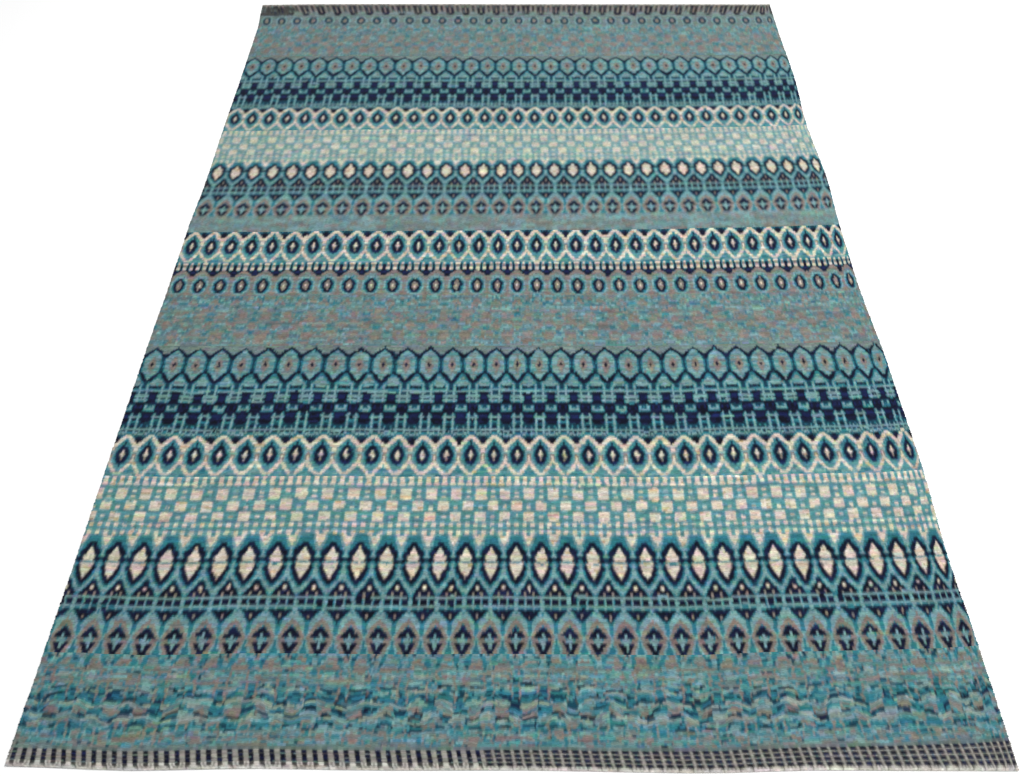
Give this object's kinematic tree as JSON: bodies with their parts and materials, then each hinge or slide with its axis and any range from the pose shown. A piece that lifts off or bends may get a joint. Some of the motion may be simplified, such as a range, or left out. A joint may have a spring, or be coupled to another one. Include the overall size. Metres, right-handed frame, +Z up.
{
  "type": "kilim rug",
  "caption": "Flat-woven wool floor rug in one sheet, teal, navy and cream, with banded diamond, hexagon and zigzag weaving.",
  "frame": {"origin": "on the floor under the middle of the rug", "axes": "+Z up, +Y along the warp from the near end to the far end, +X along the weft to the right"},
  "size_m": [1.614, 2.306, 0.004],
  "materials": {
    "kilim_wool": "matt weft-faced wool, heathered teal with navy and cream figures"
  },
  "bodies": {
    "root": {"kilim_cloth": "kilim_wool"}
  },
  "joints": []
}
